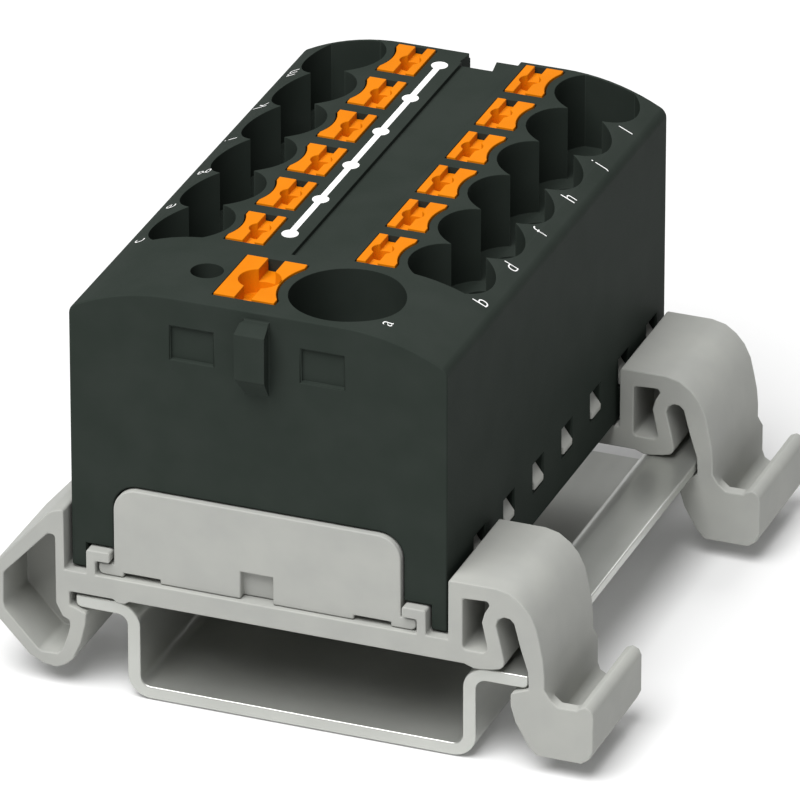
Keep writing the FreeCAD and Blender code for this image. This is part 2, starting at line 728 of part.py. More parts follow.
def build_button(label, y, turn, shape, pusher, driver, spring_near, slope):
    """A push button: the head, a pusher leg that ends above its spring, and a catch on each side of the leg."""
    near, width, length = pusher
    channel_near, channel, depth, dimple = driver
    button = new_body(label, "block_shift", y, turn)
    head = section(button, f"{label}_head", "XY_Plane", "head_floor")
    outline(head, *button_outline(*shape, "0"))
    pad(button, f"{label}_head_pad", head, "button_head")
    leg = section(button, f"{label}_leg", "XY_Plane", "head_floor")
    rectangle(leg, near, f"{near} + {width}", f"-{length} / 2", f"{length} / 2")
    tip = f"spring_top - ({near} - ({spring_near})) * tan({slope} * 1deg) + press_gap"
    pad(button, f"{label}_leg_pad", leg, f"head_floor - ({tip})", reverse=True)
    catch = section(button, f"{label}_catch", "XZ_Plane")
    ceiling = "chamber_roof - press_gap"
    outline(catch, [
        (f"{near} + 0.2", f"{ceiling} - barb_height"),
        (f"{near} + {width} - 0.2", f"{ceiling} - barb_height"),
        (f"{near} + {width} + barb_size", ceiling),
        (f"{near} - barb_size", ceiling),
    ])
    pad(button, f"{label}_catch_pad", catch, f"{length} * 0.5", both_ways=True)
    slot = section(button, f"{label}_driver_slot", "XY_Plane", "button_top")
    rectangle(slot, channel_near, f"{channel_near} + {channel}", f"-({shape[2]}) - 1", f"{shape[2]} + 1")
    pocket(button, f"{label}_driver_slot_cut", slot, depth)
    ringed = section(button, f"{label}_dimple", "XY_Plane", "button_top")
    ring(ringed, f"{channel_near} + {channel} / 2", "0", dimple)
    pocket(button, f"{label}_dimple_cut", ringed, f"{depth} + dimple_depth")
    return button


def foot_outline():
    """The foot's outline: a bar with a fixed jaw on the left, and a sprung arm with its release lug on the right."""
    under = "rail_height - rail_sheet"
    rest = "rail_height + rest_gap"
    reach = "left_tip - grip_reach"
    left = [
        ("left_tip + 4.3", "bar_under"),
        ("left_tip + 3.9", rest),
        ("left_tip + 3.4", rest),
        ("left_tip + 3.0", "bar_under"),
        ("left_tip - 0.4", "bar_under"),
        ("left_tip - 0.4", f"{under} + 0.18"),
        ("left_tip + grip_hold", f"{under} - 0.29"),
        ("left_tip + grip_hold - 0.07", f"{under} - 1.12"),
        ("left_tip + 0.47", "foot_low + 2.4"),
        ("left_tip - 0.17", "foot_low + 0.9"),
        ("left_tip - 0.75", "foot_low + 0.35"),
        ("left_tip - 1.5", "foot_low"),
        ("left_tip - 2.4", "foot_low + 0.1"),
        ("left_tip - 3.57", "foot_low + 0.65"),
        (f"{reach} + 0.5", "foot_low + 3.3"),
        (f"{reach} + 0.15", "foot_low + 4.0"),
        (reach, "foot_low + 4.9"),
        (reach, "foot_low + 7.0"),
        (f"{reach} + 0.25", "foot_low + 7.6"),
        ("left_wall - 1.3", "foot_peak - 0.5"),
        ("left_wall - 0.85", "foot_peak - 0.18"),
        ("left_wall - 0.3", "foot_peak"),
        ("left_wall", "foot_peak"),
        ("left_wall", "groove_floor"),
    ]
    stem = "hook_near + hook_stem"
    hook = [
        (f"block_shift - ({stem})", "groove_floor"),
        (f"block_shift - ({stem})", "hook_top"),
        ("block_shift - hook_tip", "hook_top"),
        ("block_shift - hook_tip", "hook_under"),
        ("block_shift - hook_near", "hook_under"),
        ("block_shift - hook_near", "groove_floor"),
    ]
    far_hook = [(x.replace(" - ", " + ", 1), z) for x, z in reversed(hook)]
    right = [
        ("right_wall", "groove_floor"),
        ("right_wall", "foot_peak"),
        ("right_tip - 2.4", "foot_peak"),
        ("right_tip - 1.3", "foot_peak - 0.25"),
        ("right_tip - 0.45", "foot_peak - 0.85"),
        ("right_tip + 0.2", "foot_peak - 1.6"),
        ("right_tip + 0.7", "foot_peak - 2.65"),
        ("right_tip + 1.0", "foot_peak - 3.95"),
        ("right_tip + 1.25", "rail_height + 1.6"),
        ("right_tip + 1.35", "rail_height + 0.4"),
        ("right_tip + 1.35", "rail_height - 0.65"),
        ("right_tip + 1.8", "lug_top + 0.5"),
        ("right_tip + 2.4", "lug_top"),
        ("right_tip + lug_reach - lug_lip", "lug_top"),
        ("right_tip + lug_reach - lug_lip + 0.22", "lip_top - 0.18"),
        ("right_tip + lug_reach - lug_lip + 0.6", "lip_top"),
        ("right_tip + lug_reach - 0.6", "lip_top"),
        ("right_tip + lug_reach - 0.2", "lip_top - 0.2"),
        ("right_tip + lug_reach", "lip_top - 0.65"),
        ("right_tip + lug_reach", "foot_low + 1.1"),
        ("right_tip + lug_reach - 0.3", "foot_low + 0.45"),
        ("right_tip + lug_reach - 0.9", "foot_low"),
        ("right_tip + 0.8", "foot_low"),
        ("right_tip + 0.2", "foot_low + 0.6"),
        ("right_tip - 0.85", "foot_low + 2.4"),
        ("right_tip - 1.24", "foot_low + 3.7"),
        ("right_tip - 1.24", f"{under} - 0.42"),
        ("right_tip + 0.15", f"{under} + 0.1"),
        ("right_tip + 0.08", "rail_height + 0.5"),
        ("right_tip - 0.5", "bar_under + 2.05"),
        ("right_tip - 1.0", "bar_under + 3.95"),
        ("right_tip - 1.3", "bar_under + 4.25"),
        ("right_tip - 1.75", "bar_under + 4.3"),
        ("right_tip - 2.2", "bar_under + 4.05"),
        ("right_tip - 2.35", "bar_under + 3.55"),
        ("right_tip - 1.95", "bar_under + 1.85"),
        ("right_tip - 1.7", "bar_under + 0.7"),
        ("right_tip - 1.75", "bar_under + 0.3"),
        ("right_tip - 2.05", "bar_under + 0.05"),
        ("right_tip - 2.6", "bar_under - 0.1"),
        ("right_tip - 3.6", rest),
        ("right_tip - 4.1", rest),
        ("right_tip - 4.8", "bar_under"),
    ]
    return left + hook + far_hook + right


def build_foot(label, y):
    """One rail foot, moulded in one piece, with blind pockets from both ends that leave a web."""
    foot = new_body(label, "0", y)
    profile = section(foot, f"{label}_profile", "XZ_Plane", "-foot_length")
    outline(profile, foot_outline())
    pad(foot, f"{label}_solid", profile, "foot_length")
    for end, shift in (("near", "0"), ("far", "-(foot_length + foot_web) / 2")):
        cells = section(foot, f"{label}_{end}_cells", "XZ_Plane", shift)
        outline(cells, [
            ("left_tip - 5.55", "foot_low + 7.05"),
            ("left_wall - 1.25", "foot_peak - 2.1"),
            ("left_wall - 0.85", "foot_peak - 2.15"),
            ("left_wall - foot_wall", "foot_peak - 2.3"),
            ("left_wall - foot_wall", "rail_height - 0.8"),
            ("left_tip - 0.95", "rail_height - 1.85"),
            ("left_tip - 0.4", "rail_height - 2.1"),
            ("left_tip - 0.4", "foot_low + 3.5"),
            ("left_tip - 0.6", "foot_low + 2.75"),
            ("left_tip - 1.0", "foot_low + 1.6"),
            ("left_tip - 1.4", "foot_low + 1.15"),
            ("left_tip - 2.6", "foot_low + 1.1"),
            ("left_tip - 2.95", "foot_low + 1.3"),
            ("left_tip - 5.5", "foot_low + 4.1"),
            ("left_tip - 5.6", "foot_low + 4.6"),
        ])
        outline(cells, [
            ("right_wall + 1.1", "foot_peak - 1.3"),
            ("right_tip - 3.05", "foot_peak - 1.2"),
            ("right_tip - 2.85", "foot_peak - 1.5"),
            ("right_tip - 3.25", "foot_peak - 2.2"),
            ("right_tip - 3.45", "foot_peak - 2.95"),
            ("right_tip - 3.25", "foot_peak - 3.9"),
            ("right_tip - 3.0", "foot_peak - 5.1"),
            ("right_tip - 3.25", "foot_peak - 5.4"),
            ("right_wall + 1.3", "foot_peak - 5.4"),
            ("right_wall + 1.1", "foot_peak - 5.2"),
        ])
        pocket(foot, f"{label}_{end}_cell_cut", cells, "(foot_length - foot_web) / 2")
    release = section(foot, f"{label}_release", "XZ_Plane", "-lug_end")
    lip = "right_tip + lug_reach - lug_lip"
    outline(release, [
        ("right_tip + 2.55", "lug_floor"),
        (lip, "lug_floor"),
        (lip, "lug_top + 1"),
        ("right_tip + 1.75", "lug_top + 1"),
        ("right_tip + 1.75", "lug_floor + 0.9"),
        ("right_tip + 1.95", "lug_floor + 0.35"),
    ])
    pocket(foot, f"{label}_release_cut", release, "foot_length - lug_end")
    return foot


SMALL_PUSHER = ("pusher_near", "pusher_width", "pusher_length")
MAIN_PUSHER = ("main_pusher_near", "main_pusher_width", "main_pusher_length")
SMALL_DRIVER = ("driver_near", "driver_slot", "driver_depth", "dimple_radius")
MAIN_DRIVER = ("main_driver_near", "main_driver_slot", "main_driver_depth", "main_dimple_radius")

parts = [build_rail(), build_housing(), build_base(), build_bar()]
parts.append(build_foot("rail_foot_front", "foot_first"))
parts.append(build_foot("rail_foot_rear", "foot_first + foot_spacing"))
parts.append(build_spring("clamp_spring_a", "main_y", 0, "main_spring_near", "main_spring_far",
                          "main_spring_slope", "main_spring_breadth"))
parts.append(build_button("button_a", "main_y", 0, MAIN_BUTTON, MAIN_PUSHER, MAIN_DRIVER,
                          "main_spring_near", "main_spring_slope"))
for i in range(ROW):
    for letter, turn in (("bdfhjl"[i], 0), ("cegikm"[i], 180)):
        place = f"row_start + {i} * pitch"
        parts.append(build_spring(f"clamp_spring_{letter}", place, turn, "spring_near", "spring_far",
                                  "spring_slope", "spring_breadth"))
        parts.append(build_button(f"button_{letter}", place, turn, SMALL_BUTTON, SMALL_PUSHER, SMALL_DRIVER,
                                  "spring_near", "spring_slope"))

doc.recompute()
for thing in doc.Objects:
    if "Invalid" in thing.State or "Error" in thing.State:
        raise ValueError(f"{thing.Label} is in state {thing.State}")

os.makedirs("parts", exist_ok=True)
for part in parts:
    shape = part.Shape
    if shape.isNull() or not shape.isValid() or len(shape.Solids) != 1:
        raise ValueError(f"{part.Label} isn't one valid solid")
    shape.exportStep(f"parts/{part.Label}.step")
    print(part.Label, round(shape.Volume, 2), [round(x, 2) for x in (
        shape.BoundBox.XMin, shape.BoundBox.YMin, shape.BoundBox.ZMin,
        shape.BoundBox.XMax, shape.BoundBox.YMax, shape.BoundBox.ZMax)])
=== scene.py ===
import logging
import math
from dataclasses import dataclass
from enum import Enum

import bpy
from mathutils import Matrix, Vector


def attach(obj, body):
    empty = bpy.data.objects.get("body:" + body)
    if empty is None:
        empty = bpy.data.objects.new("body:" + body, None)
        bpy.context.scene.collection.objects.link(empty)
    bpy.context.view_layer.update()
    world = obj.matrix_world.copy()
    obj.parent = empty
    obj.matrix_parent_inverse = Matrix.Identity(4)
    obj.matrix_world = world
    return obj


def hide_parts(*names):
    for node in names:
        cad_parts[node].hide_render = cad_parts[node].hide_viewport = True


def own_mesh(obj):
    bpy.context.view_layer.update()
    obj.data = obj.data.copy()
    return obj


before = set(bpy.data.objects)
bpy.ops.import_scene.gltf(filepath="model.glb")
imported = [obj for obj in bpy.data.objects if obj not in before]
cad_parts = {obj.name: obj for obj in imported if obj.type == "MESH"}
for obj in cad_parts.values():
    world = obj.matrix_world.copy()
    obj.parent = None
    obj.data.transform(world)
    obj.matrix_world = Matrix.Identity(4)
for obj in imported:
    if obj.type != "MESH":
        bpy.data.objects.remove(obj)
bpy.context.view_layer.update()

MM = 0.001
LETTERS = "abcdefghijklm"
NOISE_RANGE = (0.3, 0.7)
LOG = logging.getLogger("distribution_block")
logging.basicConfig(level=logging.INFO, format="%(name)s: %(message)s")

Point = tuple[float, float, float]
Colour = tuple[float, float, float]
Socket = bpy.types.NodeSocket


class Slot(Enum):
    """The record's material slots."""

    BLACK = "black_plastic"
    GREY = "grey_plastic"
    ORANGE = "orange_plastic"
    RAIL = "zinc_steel"
    COPPER = "tinned_copper"
    SPRING = "spring_steel"


class Nodes:
    """A short hand for wiring a material's node tree."""

    def __init__(self, name: str) -> None:
        """Make an empty material with one principled shader.

        Args:
            name: The material's name.
        """
        self.material = bpy.data.materials.new(name)
        self.material.use_nodes = True
        self.tree = self.material.node_tree
        self.shader = self.tree.nodes["Principled BSDF"]
        self.coords = self.tree.nodes.new("ShaderNodeTexCoord").outputs["Object"]

    def add(self, kind: str, **inputs: object) -> bpy.types.Node:
        """Add a node and set or link its inputs.

        Args:
            kind: The node's type, without its ShaderNode prefix.
            **inputs: Values or output sockets, by input name with underscores for spaces.

        Returns:
            The new node.
        """
        node = self.tree.nodes.new(f"ShaderNode{kind}")
        for name, value in inputs.items():
            self.feed(node.inputs[name.replace("_", " ")], value)
        return node

    def feed(self, socket: Socket, value: object) -> None:
        """Set a socket to a value, or link an output to it.

        Args:
            socket: The input socket.
            value: A number, colour or vector, or an output socket.
        """
        if isinstance(value, bpy.types.NodeSocket):
            self.tree.links.new(value, socket)
        else:
            socket.default_value = value

    def paint(self, **inputs: object) -> None:
        """Set or link the shader's own inputs.

        Args:
            **inputs: Values or output sockets, by input name with underscores for spaces.
        """
        for name, value in inputs.items():
            self.feed(self.shader.inputs[name.replace("_", " ")], value)

    def scaled(self, scale: Point) -> Socket:
        """The object's coordinates, stretched.

        Args:
            scale: The factors along X, Y and Z.

        Returns:
            The stretched coordinates.
        """
        return self.add("Mapping", Vector=self.coords, Scale=scale).outputs["Vector"]

    def noise(self, scale: float, detail: float = 3.0, where: Socket | None = None) -> Socket:
        """A noise pattern.

        Args:
            scale: Waves to the metre.
            detail: How many finer layers it has.
            where: The coordinates, if not the object's own.

        Returns:
            The pattern, about 0 to 1.
        """
        node = self.add("TexNoise", Vector=where or self.coords, Scale=scale, Detail=detail)
        return node.outputs["Fac"]

    def ramp(self, fac: Socket, low: float, high: float, dark: Colour, light: Colour) -> Socket:
        """A two-colour ramp.

        Args:
            fac: The pattern to map.
            low: Where the first colour ends.
            high: Where the second colour starts.
            dark: The first colour.
            light: The second colour.

        Returns:
            The colour.
        """
        node = self.add("ValToRGB", Fac=fac)
        first, second = node.color_ramp.elements
        first.position, second.position = low, high
        first.color, second.color = (*dark, 1.0), (*light, 1.0)
        return node.outputs["Color"]

    def spread(self, fac: Socket, low: float, high: float) -> Socket:
        """A noise pattern mapped to a range of numbers.

        Args:
            fac: The pattern.
            low: The number for its low end.
            high: The number for its high end.

        Returns:
            The number.
        """
        node = self.add("MapRange", Value=fac, From_Min=NOISE_RANGE[0], From_Max=NOISE_RANGE[1],
                        To_Min=low, To_Max=high)
        return node.outputs["Result"]

    def bump(self, height: Socket, strength: float, depth: float,
             under: Socket | None = None) -> Socket:
        """A fine relief.

        Args:
            height: The pattern that lifts the surface.
            strength: From 0 to 1.
            depth: The relief's height in metres.
            under: A coarser relief that this one is laid over.

        Returns:
            The bent normal.
        """
        node = self.add("Bump", Height=height, Strength=strength, Distance=depth)
        if under is not None:
            self.feed(node.inputs["Normal"], under)
        return node.outputs["Normal"]


@dataclass(frozen=True)
class MouldedPlastic:
    """Injection-moulded plastic with a fine spark-eroded grain over a slight swell."""

    name: str
    dark: Colour
    light: Colour
    rough_low: float
    rough_high: float
    specular: float
    cloud_waves: float = 260.0
    cloud_low: float = 0.35
    cloud_high: float = 0.65
    grain_waves: float = 9000.0
    grain_strength: float = 0.12
    grain_depth: float = 0.02 * MM
    swell_waves: float = 420.0
    swell_strength: float = 0.05
    swell_depth: float = 0.1 * MM

    def make(self) -> bpy.types.Material:
        """Build the material.

        Returns:
            The material.
        """
        nodes = Nodes(self.name)
        clouds = nodes.noise(self.cloud_waves, detail=4.0)
        grain = nodes.noise(self.grain_waves, detail=2.0)
        swell = nodes.bump(nodes.noise(self.swell_waves, detail=1.0),
                           self.swell_strength, self.swell_depth)
        nodes.paint(
            Base_Color=nodes.ramp(clouds, self.cloud_low, self.cloud_high, self.dark, self.light),
            Roughness=nodes.spread(grain, self.rough_low, self.rough_high),
            Normal=nodes.bump(grain, self.grain_strength, self.grain_depth, swell),
            Specular_IOR_Level=self.specular)
        return nodes.material


@dataclass(frozen=True)
class RolledMetal:
    """Sheet metal with fine rolling lines along one axis."""

    name: str
    dark: Colour
    light: Colour
    rough_low: float
    rough_high: float
    stretch: Point = (900.0, 12.0, 900.0)
    line_waves: float = 4.0
    line_strength: float = 0.12
    line_depth: float = 0.01 * MM
    cloud_waves: float = 120.0
    metallic: float = 1.0

    def make(self) -> bpy.types.Material:
        """Build the material.

        Returns:
            The material.
        """
        nodes = Nodes(self.name)
        lines = nodes.noise(self.line_waves, detail=4.0, where=nodes.scaled(self.stretch))
        clouds = nodes.noise(self.cloud_waves, detail=5.0)
        nodes.paint(
            Base_Color=nodes.ramp(clouds, *NOISE_RANGE, self.dark, self.light),
            Roughness=nodes.spread(lines, self.rough_low, self.rough_high),
            Normal=nodes.bump(lines, self.line_strength, self.line_depth),
            Metallic=self.metallic)
        return nodes.material


@dataclass(frozen=True)
class PrintedInk:
    """Opaque printed ink, a little uneven at its thinnest."""

    name: str
    colour: Colour
    thin_share: float = 0.93
    thin_waves: float = 2500.0
    thin_low: float = 0.3
    thin_high: float = 0.5
    rough_waves: float = 1800.0
    rough_low: float = 0.45
    rough_high: float = 0.6

    def make(self) -> bpy.types.Material:
        """Build the material.

        Returns:
            The material.
        """
        nodes = Nodes(self.name)
        thin = tuple(channel * self.thin_share for channel in self.colour)
        patches = nodes.noise(self.thin_waves)
        nodes.paint(
            Base_Color=nodes.ramp(patches, self.thin_low, self.thin_high, thin, self.colour),
            Roughness=nodes.spread(nodes.noise(self.rough_waves), self.rough_low, self.rough_high))
        return nodes.material


@dataclass(frozen=True)
class PalePaper:
    """The floor's matt paper, lifted a little so that it stays pale in the shade."""

    name: str
    dark: Colour
    light: Colour
    cloud_waves: float = 3.0
    rough: float = 0.9
    specular: float = 0.1
    lift: float = 0.08

    def make(self) -> bpy.types.Material:
        """Build the material.

        Returns:
            The material.
        """
        nodes = Nodes(self.name)
        clouds = nodes.noise(self.cloud_waves)
        nodes.paint(
            Base_Color=nodes.ramp(clouds, *NOISE_RANGE, self.dark, self.light),
            Roughness=self.rough,
            Specular_IOR_Level=self.specular,
            Emission_Color=(1.0, 1.0, 1.0, 1.0),
            Emission_Strength=self.lift)
        return nodes.material


BLACK_PLASTIC = MouldedPlastic(
    "black_polyamide", dark=(0.0240, 0.0308, 0.0260), light=(0.0278, 0.0346, 0.0298),
    rough_low=0.5, rough_high=0.6, specular=0.02)
GREY_PLASTIC = MouldedPlastic(
    "light_grey_polyamide", dark=(0.355, 0.36, 0.34), light=(0.385, 0.39, 0.365),
    rough_low=0.42, rough_high=0.52, specular=0.06)
ORANGE_PLASTIC = MouldedPlastic(
    "orange_polyamide", dark=(0.627, 0.175, 0.002), light=(0.665, 0.193, 0.003),
    rough_low=0.45, rough_high=0.55, specular=0.05)
ZINC_STEEL = RolledMetal(
    "zinc_plated_steel", dark=(0.47, 0.48, 0.45), light=(0.55, 0.56, 0.53),
    rough_low=0.28, rough_high=0.33, stretch=(220.0, 10.0, 220.0), line_strength=0.01,
    metallic=0.7)
TINNED_COPPER = RolledMetal(
    "tinned_copper", dark=(0.66, 0.64, 0.60), light=(0.74, 0.72, 0.68),
    rough_low=0.22, rough_high=0.34)
SPRING_STEEL = RolledMetal(
    "spring_strip", dark=(0.55, 0.55, 0.55), light=(0.64, 0.64, 0.64),
    rough_low=0.18, rough_high=0.3, stretch=(40.0, 900.0, 40.0))
WHITE_INK = PrintedInk("white_ink", colour=(0.88, 0.88, 0.87))
FLOOR_PAPER = PalePaper("pale_paper", dark=(0.70, 0.70, 0.70), light=(0.72, 0.72, 0.72))


def only(piece: bpy.types.Object) -> None:
    """Select one object and nothing else.

    Args:
        piece: The object to select and make active.
    """
    if bpy.context.object is not None and bpy.context.object.mode != "OBJECT":
        bpy.ops.object.mode_set(mode="OBJECT")
    bpy.ops.object.select_all(action="DESELECT")
    piece.hide_set(False)
    piece.select_set(True)
    bpy.context.view_layer.objects.active = piece


def settle(piece: bpy.types.Object) -> None:
    """Put an object's place, turn and size into its mesh.

    Args:
        piece: The object.
    """
    only(piece)
    bpy.ops.object.transform_apply(location=True, rotation=True, scale=True)


def dress(piece: bpy.types.Object, material: bpy.types.Material) -> None:
    """Give an object one material all over.

    Args:
        piece: The object.
        material: Its finish.
    """
    piece.data.materials.clear()
    piece.data.materials.append(material)


def redress(node: str, material: bpy.types.Material) -> None:
    """Give a CAD node a better material, in each of its slots.

    Args:
        node: The node's name.
        material: The finish.
    """
    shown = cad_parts[node]
    if not shown.material_slots:
        shown.data.materials.append(material)
    for place in shown.material_slots:
        place.material = material
    LOG.info("%s: redressed", node)


@dataclass
class SoftEdgedPiece:
    """A moulding or pressing that stands for one CAD node, with its real edges' small radii."""

    node: str
    body: str
    slot: Slot
    radius: float
    sharp_angle: float = 40.0
    smooth_angle: float = 32.0
    segments: int = 3
    merge_distance: float = 0.002 * MM
    flat_angle: float = 0.6
    level_weight: int = 100

    def share(self, one: Vector, other: Vector) -> float:
        """How much of the radius an edge gets.

        Args:
            one: The edge's first end.
            other: Its second end.

        Returns:
            From 0 to 1, here 1 for every sharp edge.
        """
        return 1.0

    def refine(self, piece: bpy.types.Object) -> None:
        """Reshape small forms before the edges are rounded, here none.

        Args:
            piece: The merged copy.
        """

    def merge(self, piece: bpy.types.Object) -> None:
        """Join the loose triangles of a node's copy into clean flat faces.

        Args:
            piece: The copy.
        """
        only(piece)
        bpy.ops.object.mode_set(mode="EDIT")
        bpy.ops.mesh.select_all(action="SELECT")
        bpy.ops.mesh.remove_doubles(threshold=self.merge_distance)
        bpy.ops.mesh.dissolve_limited(angle_limit=math.radians(self.flat_angle), delimit=set())
        bpy.ops.mesh.select_all(action="DESELECT")
        bpy.ops.object.mode_set(mode="OBJECT")

    def weigh_edges(self, piece: bpy.types.Object) -> None:
        """Mark the sharp edges, and how round each becomes.

        Args:
            piece: The merged copy.
        """
        only(piece)
        bpy.ops.object.mode_set(mode="EDIT")
        bpy.ops.mesh.select_mode(type="EDGE")
        bpy.ops.mesh.edges_select_sharp(sharpness=math.radians(self.sharp_angle))
        bpy.ops.object.mode_set(mode="OBJECT")
        mesh = piece.data
        weights = mesh.attributes.new("bevel_weight_edge", "FLOAT", "EDGE")
        for edge in mesh.edges:
            one, other = (mesh.vertices[corner].co for corner in edge.vertices)
            weights.data[edge.index].value = self.share(one, other) if edge.select else 0.0

    def round_edges(self, piece: bpy.types.Object) -> None:
        """Round the weighted edges, and shade the flat faces between them level.

        Args:
            piece: The merged copy, with its edges weighted.
        """
        only(piece)
        bevel = piece.modifiers.new("edge_radius", "BEVEL")
        bevel.width = self.radius
        bevel.segments = self.segments
        bevel.limit_method = "WEIGHT"
        bevel.use_clamp_overlap = False
        bpy.ops.object.modifier_apply(modifier=bevel.name)
        bpy.ops.object.shade_smooth_by_angle(angle=math.radians(self.smooth_angle))
        flats = piece.modifiers.new("level_flats", "WEIGHTED_NORMAL")
        flats.mode = "FACE_AREA"
        flats.weight = self.level_weight
        flats.keep_sharp = True
        bpy.ops.object.modifier_apply(modifier=flats.name)

    def build(self, material: bpy.types.Material) -> bpy.types.Object:
        """Copy the node's mesh, merge it, round its edges and dress it.

        Args:
            material: The finish.

        Returns:
            The new piece.
        """
        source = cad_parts[self.node]
        piece = bpy.data.objects.new(f"{self.node}_moulding", source.data.copy())
        bpy.context.scene.collection.objects.link(piece)
        piece.matrix_world = source.matrix_world.copy()
        settle(piece)
        self.merge(piece)
        self.refine(piece)
        self.weigh_edges(piece)
        self.round_edges(piece)
        dress(piece, material)
        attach(piece, self.body)
        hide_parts(self.node)
        LOG.info("%s: %d faces", piece.name, len(piece.data.polygons))
        return piece


@dataclass
class RoundedHousing(SoftEdgedPiece):
    """The black moulding: its outer edges are rounder than the rims of its funnels and wells."""

    node: str = "housing"
    body: str = "block"
    slot: Slot = Slot.BLACK
    radius: float = 0.14 * MM
    rim: float = 0.35
    shell: tuple[float, float] = (-17.93 * MM, 11.13 * MM)
    reach: float = 22.9 * MM
    floor: float = 9.7 * MM
    near: float = 0.03 * MM
    key_top: float = 32.4 * MM
    key_tip: float = -24.0 * MM
    lead_in: Point = (0.0, 0.5 * MM, -0.4 * MM)

    def refine(self, piece: bpy.types.Object) -> None:
        """Give the key's top the long lead-in slope of the real one.

        Args:
            piece: The merged copy.
        """
        drop = (0.0, 0.0, self.lead_in[2])
        for reach, shift in ((self.key_tip, self.lead_in), (-self.reach, drop)):
            only(piece)
            for corner in piece.data.vertices:
                high = abs(corner.co.z - self.key_top) < self.near
                corner.select = high and abs(corner.co.y - reach) < self.near
            bpy.ops.object.mode_set(mode="EDIT")
            bpy.ops.mesh.select_mode(type="VERT")
            bpy.ops.transform.translate(value=shift)
            bpy.ops.mesh.select_all(action="DESELECT")
            bpy.ops.object.mode_set(mode="OBJECT")

    def share(self, one: Vector, other: Vector) -> float:
        """How much of the radius an edge gets.

        Args:
            one: The edge's first end.
            other: Its second end.

        Returns:
            1 where both ends lie on the outer shell, less on the rims inside it.
        """
        left, right = self.shell
        faces = ((0, left), (0, right), (1, -self.reach), (1, self.reach), (2, self.floor))
        for axis, place in faces:
            if abs(one[axis] - place) < self.near and abs(other[axis] - place) < self.near:
                return 1.0
        return self.rim


@dataclass
class SnapBase(SoftEdgedPiece):
    """The grey base that is clipped into the block's open underside."""

    node: str = "base"
    body: str = "block"
    slot: Slot = Slot.GREY
    radius: float = 0.12 * MM


@dataclass
class RailFoot(SoftEdgedPiece):
    """A grey rail foot: its profile's corners are rounder than the rims of its two cut sides."""

    body: str = "block"
    slot: Slot = Slot.GREY
    radius: float = 0.22 * MM
    rim: float = 0.5
    near: float = 0.01 * MM

    def share(self, one: Vector, other: Vector) -> float:
        """How much of the radius an edge gets.

        Args:
            one: The edge's first end.
            other: Its second end.

        Returns:
            1 on the corners that run along the rail, less on the rims.
        """
        runs_along = abs(one.x - other.x) < self.near and abs(one.z - other.z) < self.near
        return 1.0 if runs_along else self.rim


@dataclass
class TopHatRail(SoftEdgedPiece):
    """The short length of bent steel rail that the feet hold."""

    node: str = "mounting_rail"
    body: str = "block"
    slot: Slot = Slot.RAIL
    radius: float = 0.12 * MM


@dataclass
class ClampSpring(SoftEdgedPiece):
    """A bent steel strip that the button above it presses down."""

    letter: str = ""
    fixed_end: float = 13.9 * MM
    pressed: float = 0.77

    def build(self, material: bpy.types.Material) -> bpy.types.Object:
        """Make the strip, on a mesh of its own.

        Args:
            material: The finish.

        Returns:
            The new piece.
        """
        piece = super().build(material)
        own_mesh(piece)
        return piece


@dataclass
class PushInTerminal:
    """One terminal: its release button, which slides in a well, and its clamp spring below."""

    letter: str
    button_radius: float = 0.07 * MM
    spring_radius: float = 0.03 * MM

    def button(self, material: bpy.types.Material) -> bpy.types.Object:
        """Make the release button.

        Args:
            material: Its finish.

        Returns:
            The button.
        """
        return SoftEdgedPiece(f"button_{self.letter}", f"press_{self.letter}", Slot.ORANGE,
                              self.button_radius).build(material)

    def spring(self, material: bpy.types.Material) -> bpy.types.Object:
        """Make the clamp spring.

        Args:
            material: Its finish.

        Returns:
            The spring.
        """
        return ClampSpring(f"clamp_spring_{self.letter}", "block", Slot.SPRING,
                           self.spring_radius, letter=self.letter).build(material)


